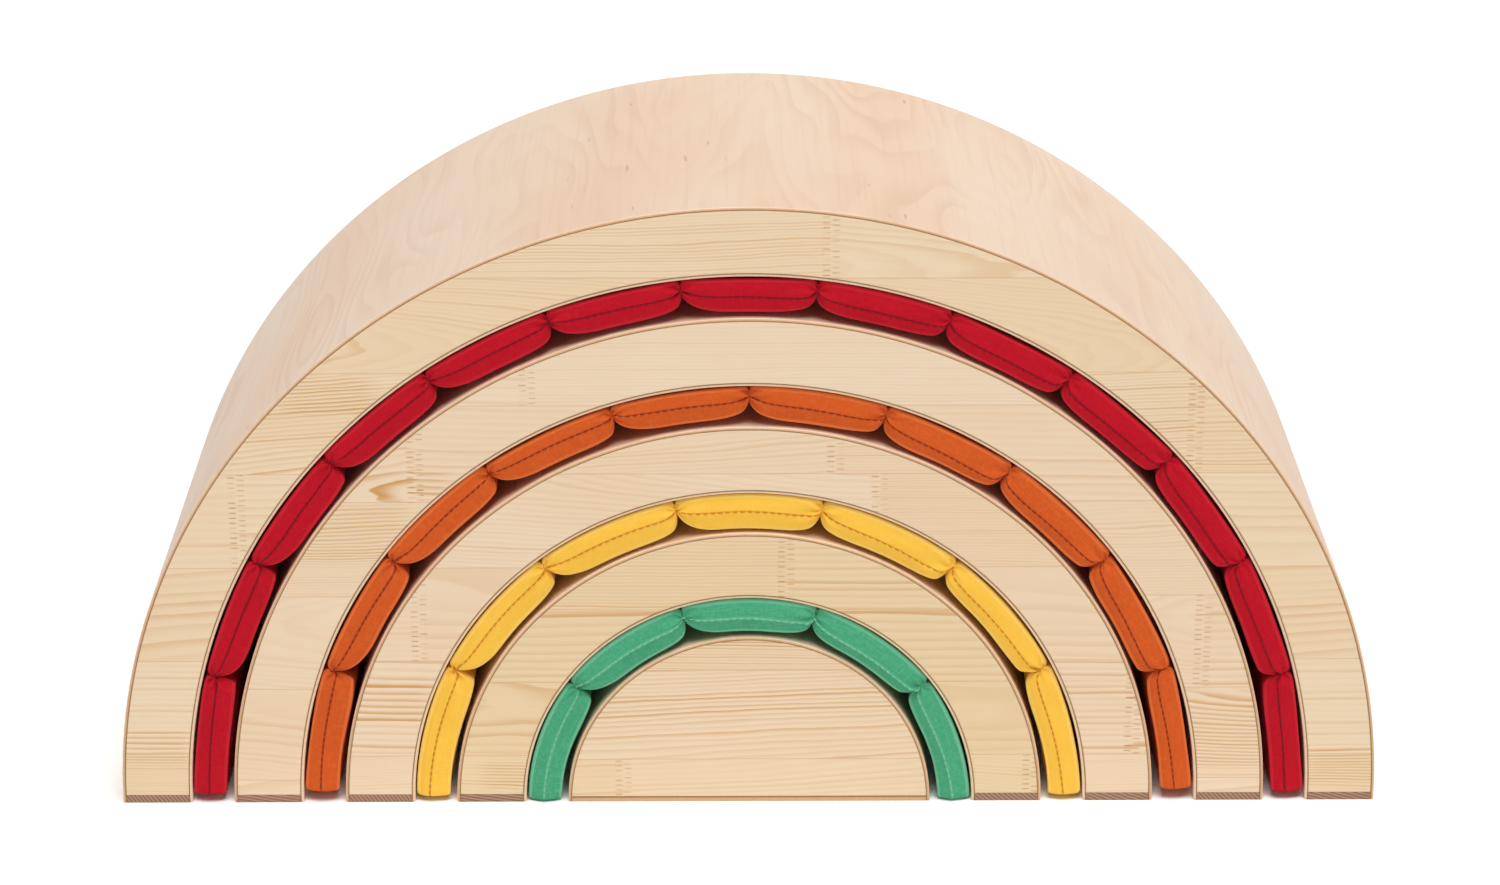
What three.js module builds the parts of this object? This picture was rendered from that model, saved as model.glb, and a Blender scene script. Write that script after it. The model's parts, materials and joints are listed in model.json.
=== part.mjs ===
// Nested play arches: four hollow wooden arches and a half disc, one inside the next, with a
// channel-sewn foam mat bent into each gap. Millimetres, +Z up, the floor at z = 0, the centre of
// every bend on the Y axis, and the front faces towards -Y.
import * as THREE from "three";

// Driving dimensions of the woodwork
const CORE_RADIUS = 130; // half disc in the middle of the nest
const BAND = 50; // one arch, from its inner skin's face to its outer skin's face
const NEST_GAP = 30; // clear gap between two nested pieces
const DEPTH = 320; // front face to back face
const SKIN = 2.5; // bent birch plywood
const PANEL = 18; // pine side panel
const FOOT = 6; // foot strip under each leg
const BASE = 4; // plywood base of the half disc
const RIB_LENGTH = 30; // rib block, measured along the bend
const CORE_RIB = 18; // upright rib inside the half disc
const GLUE_LINE = 0.3; // gap left at a glued face
const CHORD_ERROR = 0.2; // the most that a straight facet leaves its true curve

// Driving dimensions of the mats
const MAT_SEAT = 0.4; // gap between a mat and the arch that it lines
const MAT_SLACK = 4.6; // gap between a mat and the piece inside it
const MAT_INSET = 2; // mat's edge behind the arches' faces
const CHANNEL_PITCH = 95; // wanted length of one sewn channel
const SEAM_THICKNESS = 8; // mat squeezed together at a channel seam
const SEAM_DIP = 4; // a channel seam's depth below the mat's outer side
const SEAM_PULL = 3; // how far a channel seam draws the mat's edge in
const EDGE_ROUND = 5; // rounding of the mat's front and back edges
const NOTCH = 6; // reach of a seam's notch along the mat's outer side
const SHORT_FALL = 10; // reach over which a channel's right end falls on the inner side
const LONG_FALL = 32; // reach over which its left end falls on the inner side
const END_FALL = 3; // reach of the rounding at a free end of the mat
const END_FULLNESS = 0.86; // share of the full thickness left at a free end

// The arches from the largest in, and the mat that lines each
const ARCHES = [
  { name: "outer_arch", mat: "red_mat", colour: 0xb8172c, floorGap: 6 },
  { name: "second_arch", mat: "orange_mat", colour: 0xe0642a, floorGap: 8 },
  { name: "third_arch", mat: "yellow_mat", colour: 0xf3b735, floorGap: 4 },
  { name: "inner_arch", mat: "green_mat", colour: 0x3f9f6f, floorGap: 1 },
];
const RIBS = [
  { name: "right_rib", angle: Math.PI / 4 },
  { name: "crown_rib", angle: Math.PI / 2 },
  { name: "left_rib", angle: (3 * Math.PI) / 4 },
];

const pine = new THREE.MeshStandardMaterial({ color: 0xe6cfa6, roughness: 0.6, metalness: 0 });
const birch = new THREE.MeshStandardMaterial({ color: 0xecd5bd, roughness: 0.5, metalness: 0 });
const hardwood = new THREE.MeshStandardMaterial({ color: 0x9a7767, roughness: 0.7, metalness: 0 });
const canvas = (colour) => new THREE.MeshStandardMaterial({ color: colour, roughness: 0.9, metalness: 0 });

const FRONT = -DEPTH / 2;
const BACK = DEPTH / 2;
const INSIDE_FRONT = FRONT + PANEL + GLUE_LINE;
const INSIDE_BACK = BACK - PANEL - GLUE_LINE;

// Half of the width of a circle at a height above its centre.
const halfChord = (radius, height) => Math.sqrt(radius * radius - height * height);

// The number of facets that keeps an arc within the chord error.
const facets = (radius, angle) => Math.ceil(angle / (2 * Math.acos(1 - CHORD_ERROR / radius)));

// The points of an arc about the origin, end points included.
function arcPoints(radius, from, to) {
  const count = Math.max(1, facets(radius, Math.abs(to - from)));
  return Array.from({ length: count + 1 }, (_, i) => {
    const angle = from + ((to - from) * i) / count;
    return new THREE.Vector2(radius * Math.cos(angle), radius * Math.sin(angle));
  });
}

// A front view outline, x across and y up, carried from one depth to another.
function slab(name, material, outline, front, back) {
  const geometry = new THREE.ExtrudeGeometry(new THREE.Shape(outline), {
    depth: back - front,
    bevelEnabled: false,
  });
  const mesh = new THREE.Mesh(geometry, material);
  mesh.name = name;
  mesh.rotation.x = Math.PI / 2;
  mesh.position.y = back;
  return mesh;
}

// Outline of a piece of a ring between two angles.
const ringOutline = (inner, outer, from, to) => [
  ...arcPoints(outer, from, to),
  ...arcPoints(inner, to, from),
];

// Outline of a half ring that is cut off level at a height above the floor.
function archOutline(inner, outer, height) {
  const outerStart = Math.asin(height / outer);
  const innerStart = Math.asin(height / inner);
  return [
    ...arcPoints(outer, outerStart, Math.PI - outerStart),
    ...arcPoints(inner, Math.PI - innerStart, innerStart),
  ];
}

// Outline of the right leg's slice of a ring, from the floor up to a height.
function footOutline(inner, outer, height) {
  return [
    ...arcPoints(outer, 0, Math.asin(height / outer)),
    ...arcPoints(inner, Math.asin(height / inner), 0),
  ];
}

// Outline of a half disc that is cut off level at a height above the floor.
function discOutline(radius, height) {
  const start = Math.asin(height / radius);
  return arcPoints(radius, start, Math.PI - start);
}

const mirrored = (outline) => outline.map((p) => new THREE.Vector2(-p.x, p.y)).reverse();

// One hollow arch: two pine panels, a plywood skin outside and inside, foot strips and rib blocks.
function makeArch(name, outer) {
  const arch = new THREE.Group();
  const inner = outer - BAND;
  const panelOuter = outer - SKIN - GLUE_LINE;
  const panelInner = inner + SKIN + GLUE_LINE;
  const panel = archOutline(panelInner, panelOuter, FOOT + GLUE_LINE);
  const foot = footOutline(panelInner, panelOuter, FOOT);
  arch.add(
    slab(`${name}_outer_skin`, birch, ringOutline(outer - SKIN, outer, 0, Math.PI), FRONT, BACK),
    slab(`${name}_inner_skin`, birch, ringOutline(inner, inner + SKIN, 0, Math.PI), FRONT, BACK),
    slab(`${name}_front_panel`, pine, panel, FRONT, FRONT + PANEL),
    slab(`${name}_back_panel`, pine, panel, BACK - PANEL, BACK),
    slab(`${name}_right_foot`, hardwood, foot, FRONT, BACK),
    slab(`${name}_left_foot`, hardwood, mirrored(foot), FRONT, BACK),
  );
  const halfAngle = RIB_LENGTH / (panelInner + panelOuter);
  for (const rib of RIBS) {
    const outline = ringOutline(panelInner, panelOuter, rib.angle - halfAngle, rib.angle + halfAngle);
    arch.add(slab(`${name}_${rib.name}`, pine, outline, INSIDE_FRONT, INSIDE_BACK));
  }
  return arch;
}

// The half disc: two pine panels, a plywood rim and base, and an upright rib.
function makeHalfDisc(name, outer) {
  const disc = new THREE.Group();
  const inside = outer - SKIN - GLUE_LINE;
  const floor = BASE + GLUE_LINE;
  const panel = discOutline(inside, floor);
  const base = [
    new THREE.Vector2(-inside, 0),
    new THREE.Vector2(inside, 0),
    new THREE.Vector2(halfChord(inside, BASE), BASE),
    new THREE.Vector2(-halfChord(inside, BASE), BASE),
  ];
  const lean = Math.asin(CORE_RIB / 2 / inside);
  const rib = [
    new THREE.Vector2(-CORE_RIB / 2, floor),
    new THREE.Vector2(CORE_RIB / 2, floor),
    ...arcPoints(inside, Math.PI / 2 - lean, Math.PI / 2 + lean),
  ];
  disc.add(
    slab(`${name}_rim`, birch, ringOutline(outer - SKIN, outer, 0, Math.PI), FRONT, BACK),
    slab(`${name}_base`, birch, base, FRONT, BACK),
    slab(`${name}_front_panel`, pine, panel, FRONT, FRONT + PANEL),
    slab(`${name}_back_panel`, pine, panel, BACK - PANEL, BACK),
    slab(`${name}_rib`, pine, rib, INSIDE_FRONT, INSIDE_BACK),
  );
  return disc;
}

// A closed solid through a row of rings with equal counts of points, with a fan over each end.
function loft(rings) {
  const count = rings[0].length;
  const centre = (ring) =>
    ring.reduce((sum, p) => sum.add(p), new THREE.Vector3()).divideScalar(ring.length);
  const points = [...rings.flat(), centre(rings[0]), centre(rings[rings.length - 1])];
  const index = [];
  rings.slice(1).forEach((_, i) => {
    for (let j = 0; j < count; j++) {
      const a = i * count + j;
      const b = i * count + ((j + 1) % count);
      index.push(a, b, b + count, a, b + count, a + count);
    }
  });
  const last = (rings.length - 1) * count;
  for (let j = 0; j < count; j++) {
    const next = (j + 1) % count;
    index.push(next, j, points.length - 2);
    index.push(last + j, last + next, points.length - 1);
  }
  return new THREE.BufferGeometry().setFromPoints(points).setIndex(index);
}

// Places along one channel, as shares of its length, where the mat's section is taken.
const STATIONS = [0, 0.03, 0.1, 0.4, 0.68, 0.86, 0.96];

// How full a channel stands at a distance from one of its ends: 0 at a seam and 1 from the reach
// on, on a quarter ellipse. A free end stays nearly full.
function fullness({ distance, free }, reach) {
  const rise = (within) => Math.sqrt(1 - (1 - Math.min(distance / within, 1)) ** 2);
  return free ? END_FULLNESS + (1 - END_FULLNESS) * rise(END_FALL) : rise(reach);
}

// A mat's section at one place: its rounded edge runs round the thickness and the width.
function matRing(angle, seat, outerDip, innerDepth, halfWidth) {
  const flat = halfWidth - EDGE_ROUND;
  const bulge = halfWidth - EDGE_ROUND * (1 - Math.SQRT1_2);
  const section = [
    [-halfWidth, 0.5],
    [-bulge, 0.12],
    [-flat, 0],
    [0, 0],
    [flat, 0],
    [bulge, 0.12],
    [halfWidth, 0.5],
    [bulge, 0.88],
    [flat, 1],
    [0, 1],
    [-flat, 1],
    [-bulge, 0.88],
  ];
  return section.map(([y, share]) => {
    const radius = seat - outerDip - (innerDepth - outerDip) * share;
    return new THREE.Vector3(radius * Math.cos(angle), y, radius * Math.sin(angle));
  });
}

// A mat of sewn channels, bent along the inside of an arch from one end to the other.
function makeMat(name, colour, lined, floorGap) {
  const seat = lined - MAT_SEAT;
  const thickness = NEST_GAP - MAT_SEAT - MAT_SLACK;
  const start = Math.asin(floorGap / (seat - thickness));
  const sweep = Math.PI - 2 * start;
  const channels = Math.max(2, Math.round((sweep * (seat - thickness / 2)) / CHANNEL_PITCH));
  const length = (sweep * (seat - thickness / 2)) / channels;
  const ringAt = (channel, share) => {
    const right = { distance: share * length, free: channel === 0 };
    const left = { distance: (1 - share) * length, free: channel === channels - 1 };
    const outside = Math.min(fullness(right, NOTCH), fullness(left, NOTCH));
    const inside = Math.min(fullness(right, SHORT_FALL), fullness(left, LONG_FALL));
    const seamDepth = SEAM_DIP + SEAM_THICKNESS;
    return matRing(
      start + (sweep * (channel + share)) / channels,
      seat,
      SEAM_DIP * (1 - outside),
      seamDepth + (thickness - seamDepth) * inside,
      BACK - MAT_INSET - SEAM_PULL * (1 - outside),
    );
  };
  const rings = [];
  for (let channel = 0; channel < channels; channel++) {
    STATIONS.forEach((share) => rings.push(ringAt(channel, share)));
  }
  rings.push(ringAt(channels - 1, 1));
  const mesh = new THREE.Mesh(loft(rings), canvas(colour));
  mesh.name = name;
  return mesh;
}

const playArches = new THREE.Group();
const pitch = BAND + NEST_GAP;
ARCHES.forEach(({ name, mat, colour, floorGap }, i) => {
  const outer = CORE_RADIUS + pitch * (ARCHES.length - i);
  playArches.add(makeArch(name, outer), makeMat(mat, colour, outer - BAND, floorGap));
});
playArches.add(makeHalfDisc("half_disc", CORE_RADIUS));

export default playArches;
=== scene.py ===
"""Dressed model of nested wooden play arches with channel-sewn mats bent into the gaps between them.

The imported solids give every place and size. Each visible solid is replaced by a finer surface: bent plywood
skins with eased edges, jointed pine panels, hardwood feet, and padded mats with seams, folds and stitches.
Metres, +Z up, the floor at z = 0, the axis of every bend along Y, and the front towards -Y.
"""

import json
import logging
from dataclasses import dataclass
from enum import Enum

import bpy
import numpy as np
from numpy.typing import NDArray
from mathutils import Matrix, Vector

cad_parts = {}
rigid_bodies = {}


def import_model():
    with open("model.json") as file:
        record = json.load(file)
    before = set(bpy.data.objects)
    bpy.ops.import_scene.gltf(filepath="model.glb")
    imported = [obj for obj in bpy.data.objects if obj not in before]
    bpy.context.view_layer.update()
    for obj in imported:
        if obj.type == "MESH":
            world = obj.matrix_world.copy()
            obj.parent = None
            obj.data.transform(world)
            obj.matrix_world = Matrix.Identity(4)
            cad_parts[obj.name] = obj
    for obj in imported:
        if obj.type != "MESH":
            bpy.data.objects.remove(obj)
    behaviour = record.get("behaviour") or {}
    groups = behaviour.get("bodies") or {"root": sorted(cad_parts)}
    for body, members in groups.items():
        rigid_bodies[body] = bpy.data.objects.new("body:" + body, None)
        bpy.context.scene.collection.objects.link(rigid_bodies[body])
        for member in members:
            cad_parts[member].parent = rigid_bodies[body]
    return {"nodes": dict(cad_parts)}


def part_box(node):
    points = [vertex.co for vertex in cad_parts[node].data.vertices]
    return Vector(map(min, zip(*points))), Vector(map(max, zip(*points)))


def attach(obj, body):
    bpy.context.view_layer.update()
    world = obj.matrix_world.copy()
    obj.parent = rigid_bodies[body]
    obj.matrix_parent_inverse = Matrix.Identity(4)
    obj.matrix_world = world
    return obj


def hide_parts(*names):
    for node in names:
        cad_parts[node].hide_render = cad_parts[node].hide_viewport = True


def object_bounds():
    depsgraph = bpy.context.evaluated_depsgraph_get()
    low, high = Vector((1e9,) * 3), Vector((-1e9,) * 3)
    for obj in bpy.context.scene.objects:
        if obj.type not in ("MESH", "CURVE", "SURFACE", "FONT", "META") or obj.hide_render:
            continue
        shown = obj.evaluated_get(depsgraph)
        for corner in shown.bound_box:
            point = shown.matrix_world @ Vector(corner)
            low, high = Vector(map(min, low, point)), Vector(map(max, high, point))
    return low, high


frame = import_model()
CAD_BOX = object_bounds()

LOG = logging.getLogger("play_arches")
Array = NDArray[np.float64]
Indices = NDArray[np.int64]
Colour = tuple[float, float, float]
Socket = bpy.types.NodeSocket

SKIN = 0.0025
BAND = 0.050
PANEL = 0.018
FOOT = 0.006
BASE = 0.004
DEPTH = float(CAD_BOX[1][1] - CAD_BOX[0][1])
BELOW_NEST, ABOVE_NEST = -0.03, 0.47


class Side(Enum):
    """The two faces of the nest, with their direction along Y."""

    FRONT = -1
    BACK = 1


class Leg(Enum):
    """The two legs of an arch, with their direction along X."""

    LEFT = -1
    RIGHT = 1


def srgb(red: int, green: int, blue: int) -> Colour:
    """Turn a colour written as screen values into the linear values that shaders use.

    Args:
        red: Red, 0 to 255.
        green: Green, 0 to 255.
        blue: Blue, 0 to 255.

    Returns:
        The linear red, green and blue.
    """
    value = np.array([red, green, blue]) / 255.0
    linear = np.where(value <= 0.04045, value / 12.92, ((value + 0.055) / 1.055) ** 2.4)
    return tuple(float(channel) for channel in linear)


class Graph:
    """A material's node tree, built with short calls that return output sockets."""

    def __init__(self, name: str) -> None:
        """Start a material with a Principled shader on its output.

        Args:
            name: The material's name.
        """
        self.material = bpy.data.materials.new(name)
        self.material.use_nodes = True
        self.tree = self.material.node_tree
        self.tree.nodes.clear()
        self.shader = self.tree.nodes.new("ShaderNodeBsdfPrincipled")
        output = self.tree.nodes.new("ShaderNodeOutputMaterial")
        self.tree.links.new(self.shader.outputs["BSDF"], output.inputs["Surface"])

    def put(self, socket: Socket, value: object) -> None:
        """Link a socket to another socket, or set its plain value.

        Args:
            socket: The input to fill.
            value: A socket, a number, or a colour.
        """
        if isinstance(value, Socket):
            self.tree.links.new(value, socket)
        elif isinstance(value, tuple) and len(value) == 3 and socket.type == "RGBA":
            socket.default_value = (*value, 1.0)
        else:
            socket.default_value = value

    def finish(self, **values: object) -> bpy.types.Material:
        """Set the shader's sockets.

        Args:
            **values: Values by socket name, with underscores for spaces.

        Returns:
            The material.
        """
        for name, value in values.items():
            self.put(self.shader.inputs[name.replace("_", " ")], value)
        return self.material

    def node(self, kind: str, inputs: dict[object, object], output: object = 0, **settings: object) -> Socket:
        """Add a node.

        Args:
            kind: The node's type, without its prefix.
            inputs: Values or sockets by input name or number.
            output: The name or number of the output that is wanted.
            **settings: The node's own settings.

        Returns:
            That output.
        """
        node = self.tree.nodes.new(f"ShaderNode{kind}")
        for name, value in settings.items():
            setattr(node, name, value)
        for name, value in inputs.items():
            self.put(node.inputs[name], value)
        return node.outputs[output]

    def math(self, operation: str, *values: object) -> Socket:
        """Return the result of one Math node on up to three values."""
        return self.node("Math", dict(enumerate(values)), operation=operation)

    def add(self, first: object, *others: object) -> Socket:
        """Add several values one after another.

        Args:
            first: The first value.
            *others: The values to add to it.

        Returns:
            The sum.
        """
        for other in others:
            first = self.math("ADD", first, other)
        return first

    def sub(self, first: object, second: object) -> Socket:
        """Return the first value less the second."""
        return self.math("SUBTRACT", first, second)

    def mul(self, first: object, second: object) -> Socket:
        """Return the product of two values."""
        return self.math("MULTIPLY", first, second)

    def mad(self, first: object, second: object, third: object) -> Socket:
        """Return the product of two values, plus a third."""
        return self.math("MULTIPLY_ADD", first, second, third)

    def power(self, value: object, exponent: float) -> Socket:
        """Return a value raised to a power."""
        return self.math("POWER", value, exponent)

    def apart(self, first: object, second: object) -> Socket:
        """Return the distance between two values."""
        return self.math("ABSOLUTE", self.sub(first, second))

    def ease(self, value: object, low: float, high: float, start: float = 0.0, end: float = 1.0) -> Socket:
        """Return a smooth step from start to end while the value goes from low to high."""
        span = {"Value": value, "From Min": low, "From Max": high, "To Min": start, "To Max": end}
        return self.node("MapRange", span, "Result", interpolation_type="SMOOTHSTEP")

    def window(self, value: object, low: float, high: float, soft: float) -> Socket:
        """Return 1 between two values and 0 outside them, with soft edges inside."""
        return self.mul(self.ease(value, low, low + soft), self.ease(value, high - soft, high, 1.0, 0.0))

    def tooth(self, share: Socket, low: float, high: float, fall: float) -> Socket:
        """Return a slow rise from low to high over a share of 1, then a quick drop after the fall."""
        return self.mul(self.ease(share, low, high), self.ease(share, fall, 1.0, 1.0, 0.0))

    def objects(self) -> tuple[Socket, ...]:
        """Return the x, y and z of the Object coordinates."""
        return self.split(self.node("TexCoord", {}, "Object"))

    def chart(self, name: str) -> tuple[Socket, ...]:
        """Return the u and v of a named UV map, and a zero."""
        return self.split(self.node("UVMap", {}, "UV", uv_map=name))

    def attribute(self, name: str) -> Socket:
        """Return a named number stored on the mesh."""
        return self.node("Attribute", {}, "Fac", attribute_name=name)

    def split(self, vector: Socket) -> tuple[Socket, ...]:
        """Return a vector's three parts."""
        return tuple(self.node("SeparateXYZ", {0: vector}).node.outputs)

    def join(self, x: object, y: object, z: object) -> Socket:
        """Return a vector made of three parts."""
        return self.node("CombineXYZ", {0: x, 1: y, 2: z})

    def noise(self, x: object, y: object, z: object, scales: Colour, detail: float = 2.0) -> Socket:
        """Return soft noise from 0 to 1 over three coordinates, each with its own scale per metre."""
        place = self.join(*map(self.mul, (x, y, z), scales))
        return self.node("TexNoise", {"Vector": place, "Scale": 1.0, "Detail": detail}, "Fac")

    def chance(self, value: object) -> tuple[Socket, ...]:
        """Return three even random numbers that depend only on one value."""
        return self.split(self.node("TexWhiteNoise", {"W": value}, "Color", noise_dimensions="1D"))

    def blend(self, amount: object, first: object, second: object) -> Socket:
        """Return two colours mixed by an amount."""
        return self.node("Mix", {0: amount, 6: first, 7: second}, 2, data_type="RGBA")

    def bump(self, height: object, depth: float) -> Socket:
        """Return a normal bent by a height, where a height of 1 stands that many metres proud."""
        return self.node("Bump", {"Strength": 1.0, "Distance": depth, "Height": height}, "Normal")


@dataclass(frozen=True)
class FingerJoint:
    """A place where two boards of one stave meet with interlocking fingers."""

    x: float
    low: float
    high: float


@dataclass(frozen=True)
class HeavyGrain:
    """A stretch of board, in the front view, whose late wood is dark."""

    left: float
    right: float
    low: float
    high: float


@dataclass(frozen=True)
class PineFinish:
    """Lacquered pine board glued up from jointed staves, with the grain along X."""

    name: str
    seed: float
    glue_lines: tuple[float, ...]
    joints: tuple[FingerJoint, ...] = ()
    heavy: tuple[HeavyGrain, ...] = ()
    early: Colour = srgb(238, 216, 187)
    late: Colour = srgb(208, 154, 90)
    warm: Colour = srgb(232, 200, 158)
    glue: Colour = srgb(186, 126, 68)
    finger_pitch: float = 0.0038
    finger_length: float = 0.011

    def material(self) -> bpy.types.Material:
        """Build the board's material from its staves, joints, rings and fibres.

        Returns:
            The material.
        """
        g = Graph(f"pine_{self.name}")
        x, _, z = g.objects()
        stave, middle = self._staves(g, z)
        board, marks = self._joined(g, x, z, stave)
        late, tone = self._rings(g, x, z, board, middle)
        fibre = g.noise(x, board, z, (26.0, 1.0, 1500.0))
        patch = g.noise(x, board, z, (5.0, 2.0, 16.0))
        colour = g.blend(g.mul(tone, 0.5), self.early, self.warm)
        colour = g.blend(g.mul(g.ease(patch, 0.45, 0.8), 0.35), colour, self.warm)
        colour = g.blend(late, colour, self.late)
        colour = g.blend(g.mul(g.ease(fibre, 0.5, 0.75), 0.10), colour, self.late)
        colour = g.blend(g.math("MINIMUM", marks, 0.8), colour, self.glue)
        return g.finish(
            Base_Color=colour,
            Roughness=g.mad(patch, 0.12, 0.42),
            Normal=g.bump(g.mad(fibre, 0.4, late), 0.00012),
            Specular_IOR_Level=0.4,
        )

    def _staves(self, g: Graph, z: Socket) -> tuple[Socket, Socket]:
        """Number the staves, as a sum of steps at the glue lines.

        Args:
            g: The material's graph.
            z: Height.

        Returns:
            The number of the stave at each height, and the height of that stave's middle.
        """
        edges = (BELOW_NEST, *self.glue_lines, ABOVE_NEST)
        middles = [(low + high) / 2 for low, high in zip(edges, edges[1:])]
        rises = [high - low for low, high in zip(middles, middles[1:])]
        steps = [g.math("GREATER_THAN", z, line) for line in self.glue_lines]
        stave = g.add(self.seed, *(g.mul(step, 3.1) for step in steps))
        return stave, g.add(middles[0], *(g.mul(step, rise) for step, rise in zip(steps, rises)))

    def _joined(self, g: Graph, x: Socket, z: Socket, board: Socket) -> tuple[Socket, Socket]:
        """Change the board at each finger joint, and mark the glue.

        The fingers are a smooth zigzag in x over the height. Their heads and tails show as short dashes, worn
        away in places, and the glue between two staves as a thin line.

        Args:
            g: The material's graph.
            x: Place along the grain.
            z: Height.
            board: The number of each stave.

        Returns:
            The number of each board, and how much glue shows.
        """
        reach = 0.3 * self.finger_length
        wave = g.mul(g.math("PINGPONG", z, self.finger_pitch / 2), 2.0 / self.finger_pitch)
        comb = g.mad(g.ease(wave, 0.10, 0.90), self.finger_length, x)
        heads, tails = g.ease(wave, 0.55, 0.90), g.ease(wave, 0.45, 0.10)
        worn = g.ease(g.noise(x, self.seed, z, (40.0, 1.0, 420.0), 1.0), 0.30, 0.62)
        marks = [g.ease(g.apart(z, line), 0.0001, 0.0005, 0.35, 0.0) for line in self.glue_lines]
        for index, joint in enumerate(self.joints):
            inside = g.mul(g.math("GREATER_THAN", z, joint.low), g.math("LESS_THAN", z, joint.high))
            offset = g.sub(comb, joint.x + self.finger_length / 2)
            past = g.mul(inside, g.math("GREATER_THAN", offset, 0.0))
            board = g.mad(past, 1.37 + 0.61 * index, board)
            head = g.ease(g.apart(x, joint.x - reach), 0.0014, 0.0034, 0.62, 0.0)
            tail = g.ease(g.apart(x, joint.x + reach), 0.0014, 0.0034, 0.45, 0.0)
            dash = g.add(g.mul(head, heads), g.mul(tail, tails))
            marks.append(g.mul(g.mul(dash, worn), inside))
        return board, g.add(*marks)

    def _rings(self, g: Graph, x: Socket, z: Socket, board: Socket, middle: Socket) -> tuple[Socket, Socket]:
        """Cut each board from a log of its own.

        The log's pith runs nearly along X, so a ring's radius at a point is the root of the squares of the
        point's height over the pith and of the pith's depth under the face. Rings darken slowly from early
        wood to late wood and then start again. Every board has its own pith, ring width and tone.

        Args:
            g: The material's graph.
            x: Place along the grain.
            z: Height.
            board: The number of each board.
            middle: The height of its stave's middle.

        Returns:
            How dark the late wood is, and the board's tone.
        """
        pith, depth, slope = g.chance(board)
        width, contrast, tone = g.chance(g.add(board, 41.7))
        height = g.sub(z, g.mad(g.sub(pith, 0.5), 0.22, middle))
        lean = g.mul(g.sub(slope, 0.5), 0.16)
        height = g.mad(g.mul(lean, 0.25), x, height)
        sunk = g.mad(lean, x, g.mad(depth, 0.06, 0.025))
        radius = g.math("SQRT", g.add(g.power(height, 2.0), g.power(sunk, 2.0)))
        radius = g.mad(g.noise(x, board, z, (4.0, 1.0, 17.0), 4.0), 0.010, radius)
        radius = g.mad(g.noise(x, board, z, (14.0, 1.0, 120.0)), 0.0012, radius)
        count = g.math("DIVIDE", radius, g.mad(g.power(width, 2.5), 0.0052, 0.0017))
        late = g.tooth(g.math("FRACT", count), 0.25, 0.88, 0.90)
        odds = g.chance(g.add(g.math("FLOOR", count), board))[0]
        heavy = g.mad(g.power(odds, 3.0), 0.74, 0.22)
        strength = g.mul(heavy, g.mad(g.power(contrast, 2.0), 0.75, 0.32))
        for place in self.heavy:
            along = g.window(x, place.left, place.right, 0.02)
            up = g.window(z, place.low, place.high, 0.005)
            strength = g.mad(g.mul(along, up), 0.5, strength)
        return g.mul(late, strength), tone


@dataclass(frozen=True)
class BirchFinish:
    """Lacquered birch plywood: a face veneer with its grain along Y, and plies along the cut edge."""

    name: str
    seed: float
    cream: Colour = srgb(244, 217, 190)
    rose: Colour = srgb(242, 207, 175)
    figure: Colour = srgb(222, 172, 136)
    fleck: Colour = srgb(186, 132, 92)
    core: Colour = srgb(214, 172, 126)
    ply: Colour = srgb(190, 146, 104)
    glue: Colour = srgb(134, 94, 64)

    def material(self) -> bpy.types.Material:
        """Build the veneer's material.

        The figure is a set of contour lines on a slow noise field, as a lathe knife leaves on a wavy log. The
        cut edge shows by the mesh's edge value, and its plies by the mesh's ply value, 0 at the glued face
        and 1 at the bare one.

        Returns:
            The material.
        """
        g = Graph(f"birch_{self.name}")
        u, v, _ = g.chart("Veneer")
        field = g.noise(u, v, self.seed, (7.5, 1.7, 1.0))
        lines = g.tooth(g.math("FRACT", g.mul(field, 21.0)), 0.30, 0.92, 0.93)
        broken = g.ease(g.noise(u, v, self.seed, (14.0, 5.0, 2.0)), 0.35, 0.68)
        cloud = g.noise(u, v, self.seed, (7.0, 3.5, 3.0), 4.0)
        pores = g.noise(u, v, self.seed, (1300.0, 40.0, 1.0))
        streak = g.noise(u, v, self.seed, (240.0, 7.0, 5.0), 3.0)
        specks = g.ease(g.noise(u, v, self.seed, (170.0, 32.0, 7.0), 1.0), 0.72, 0.80)
        specks = g.mul(specks, g.ease(cloud, 0.45, 0.6))
        colour = g.blend(g.ease(cloud, 0.3, 0.72), self.cream, self.rose)
        colour = g.blend(g.mul(g.ease(streak, 0.45, 0.75), 0.16), colour, self.figure)
        colour = g.blend(g.mul(g.mul(lines, broken), 0.30), colour, self.figure)
        colour = g.blend(g.mul(g.ease(pores, 0.55, 0.8), 0.10), colour, self.figure)
        colour = g.blend(g.mul(specks, 0.5), colour, self.fleck)
        ply = g.attribute("ply")
        grain = g.noise(u, v, self.seed, (420.0, 420.0, 1.0))
        edge = g.blend(g.ease(ply, 0.30, 0.42), self.ply, self.core)
        edge = g.blend(g.mul(g.ease(grain, 0.35, 0.75), 0.12), edge, self.glue)
        edge = g.blend(g.ease(ply, 0.08, 0.26, 0.85, 0.0), edge, self.glue)
        return g.finish(
            Base_Color=g.blend(g.attribute("edge"), colour, edge),
            Roughness=g.mad(cloud, 0.15, 0.36),
            Normal=g.bump(g.add(g.mul(pores, 0.5), g.mul(streak, 0.5)), 0.00010),
            Specular_IOR_Level=0.35,
            Coat_Weight=0.10,
            Coat_Roughness=0.22,
        )


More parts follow.
